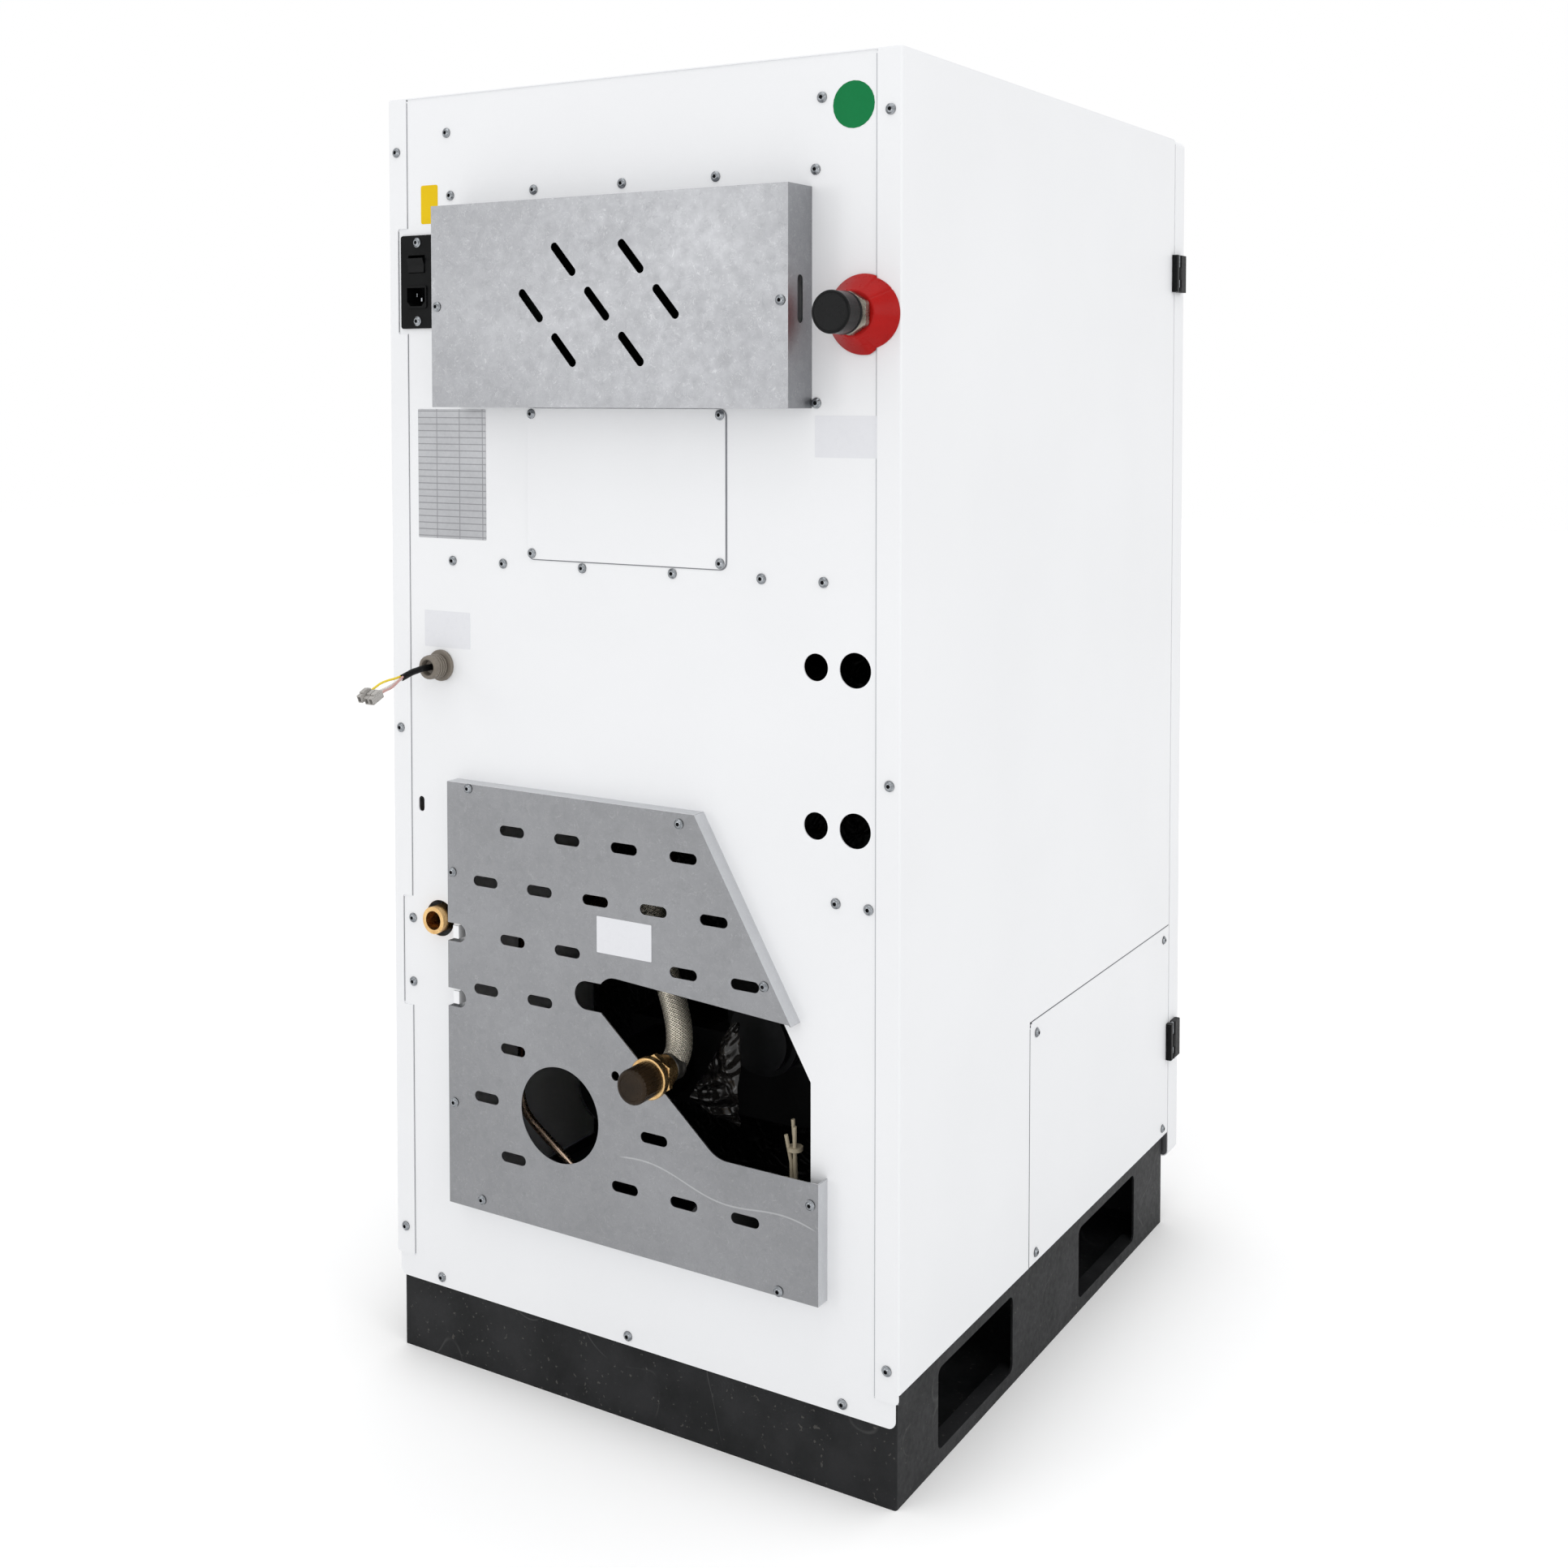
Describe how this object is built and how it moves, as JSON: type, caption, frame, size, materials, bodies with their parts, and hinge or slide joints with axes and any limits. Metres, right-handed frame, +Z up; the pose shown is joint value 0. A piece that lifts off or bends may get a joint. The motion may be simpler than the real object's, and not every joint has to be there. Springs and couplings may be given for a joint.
{
  "type": "pellet boiler",
  "caption": "Floor-standing pellet boiler with white folded casing on a black plinth, galvanised rear guards, capped water connections, front door, hopper, feed auger and flue fan.",
  "frame": {"origin": "on the floor, under the middle of the whole boiler's box", "axes": "+Z up, -Y out of the front door, +Y out of the rear with its connections, +X to the right of a user in front of the door"},
  "size_m": [0.648, 0.9136, 1.422],
  "materials": {
    "black_boiler_plate": "heat-proof paint on welded plate",
    "black_foil_lagging": "foil-faced mineral wool",
    "black_plastic": "fine moulded grain",
    "black_powder_coat": "matt powder coat",
    "braided_steel": "woven wire braid",
    "brass": "turned",
    "brown_cap_plastic": "fluted moulding",
    "burner_cast_iron": "heat-tinted casting",
    "cap_plastic": "fluted moulding",
    "cast_iron": "sand cast, blacked",
    "circuit_board": "solder mask",
    "connector_plastic": "smooth moulded",
    "copper_pipe": "drawn copper",
    "display_glass": "polished",
    "fan_housing_paint": "pressed sheet, painted",
    "galvanised_sheet": "galvanised, soft spangle",
    "gland_plastic": "moulded polyamide",
    "grip_plastic": "fine moulded grain",
    "hinge_black": "satin powder coat",
    "lead_core": "smooth insulation",
    "lead_sheath": "smooth sheath",
    "motor_black": "enamelled",
    "nickel_brass": "turned and nickel plated",
    "pale_lead": "silicone sheath",
    "plain_galvanised": "galvanised, matt",
    "pump_paint": "enamelled casting",
    "red_plastic": "smooth moulded",
    "rocker_plastic": "smooth moulded",
    "stainless_impeller": "pressed stainless",
    "steel_pipe": "drawn tube",
    "vessel_red": "powder coat",
    "white_powder_coat": "fine satin powder coat",
    "zinc_plated_steel": "bright zinc plate"
  },
  "bodies": {
    "casing": {"plinth": "black_powder_coat", "floor_pan": "plain_galvanised", "frame_posts": "plain_galvanised", "frame_rails": "plain_galvanised", "rear_panel": "white_powder_coat", "side_panel_left": "white_powder_coat", "side_panel_right": "white_powder_coat", "access_panel": "white_powder_coat", "top_panel": "white_powder_coat", "lid_hinge_leaves": "black_powder_coat", "lid_hinge_pins": "zinc_plated_steel", "inner_front": "plain_galvanised", "hinge_side_leaves": "hinge_black", "hinge_pins": "zinc_plated_steel", "electronics_cover": "galvanised_sheet", "control_board": "circuit_board", "flue_guard": "galvanised_sheet", "inspection_plate": "white_powder_coat", "power_inlet": "black_plastic", "inlet_pins": "zinc_plated_steel", "cable_gland": "gland_plastic", "lead_sheath": "lead_sheath", "lead_cores": "lead_core", "lever_connector": "connector_plastic", "flow_rosette": "red_plastic", "flow_nut": "nickel_brass", "flow_cap": "cap_plastic", "flow_pipe": "steel_pipe", "drain_elbow": "brass", "return_hose": "braided_steel", "hose_union": "brass", "hose_cap": "brown_cap_plastic", "return_pump": "pump_paint", "return_pipe": "copper_pipe", "discharge_tube": "copper_pipe", "boiler_body": "black_boiler_plate", "boiler_lagging": "black_foil_lagging", "burner_pot": "burner_cast_iron", "flue_fan": "fan_housing_paint", "fan_motor": "motor_black", "pellet_hopper": "galvanised_sheet", "auger_tube": "steel_pipe", "auger_motor": "motor_black", "expansion_vessel": "vessel_red", "sensor_leads": "pale_lead", "casing_screws": "zinc_plated_steel"},
    "front_door": {"front_door": "white_powder_coat", "door_inner_pan": "plain_galvanised", "door_grip": "grip_plastic", "display_bezel": "black_plastic", "display_glass": "display_glass", "hinge_door_leaves": "hinge_black"},
    "fire_door": {"fire_door": "cast_iron", "fire_door_handle": "black_plastic"},
    "ash_drawer": {"ash_drawer": "plain_galvanised"},
    "hopper_lid": {"hopper_lid": "white_powder_coat", "lid_hinge_straps": "black_powder_coat"},
    "rocker": {"rocker_switch": "rocker_plastic"},
    "impeller": {"fan_impeller": "stainless_impeller"},
    "auger": {"auger_screw": "steel_pipe"}
  },
  "joints": [
    {"name": "front_door_swing", "type": "hinge", "parent": "casing", "child": "front_door", "pos_m": [-0.3205, -0.3936, 0.742], "axis": [0, 0, -1], "range_deg": [0, 105]},
    {"name": "fire_door_swing", "type": "hinge", "parent": "casing", "child": "fire_door", "pos_m": [-0.18, -0.3091, 0.47], "axis": [0, 0, -1], "range_deg": [0, 90]},
    {"name": "ash_drawer_slide", "type": "slide", "parent": "casing", "child": "ash_drawer", "axis": [0, -1, 0], "range_m": [0, 0.25]},
    {"name": "hopper_lid_swing", "type": "hinge", "parent": "casing", "child": "hopper_lid", "pos_m": [0.004, 0.1829, 1.4065], "axis": [-1, 0, 0], "range_deg": [0, 85]},
    {"name": "rocker_tip", "type": "hinge", "parent": "casing", "child": "rocker", "pos_m": [0.283, 0.3574, 1.2195], "axis": [1, 0, 0], "range_deg": [0, 18]},
    {"name": "flue_fan_spin", "type": "hinge", "parent": "casing", "child": "impeller", "pos_m": [-0.091, 0.1479, 0.391], "axis": [0, 1, 0], "continuous": true},
    {"name": "feed_auger_spin", "type": "hinge", "parent": "casing", "child": "auger", "pos_m": [0.004, 0.0429, 0.974], "axis": [0, 1, 0], "continuous": true}
  ],
  "couplings": [
    {"joint": "fire_door_swing", "follows": "front_door_swing", "ratio": 0.85},
    {"joint": "ash_drawer_slide", "follows": "front_door_swing", "m_per_rad": 0.135}
  ]
}
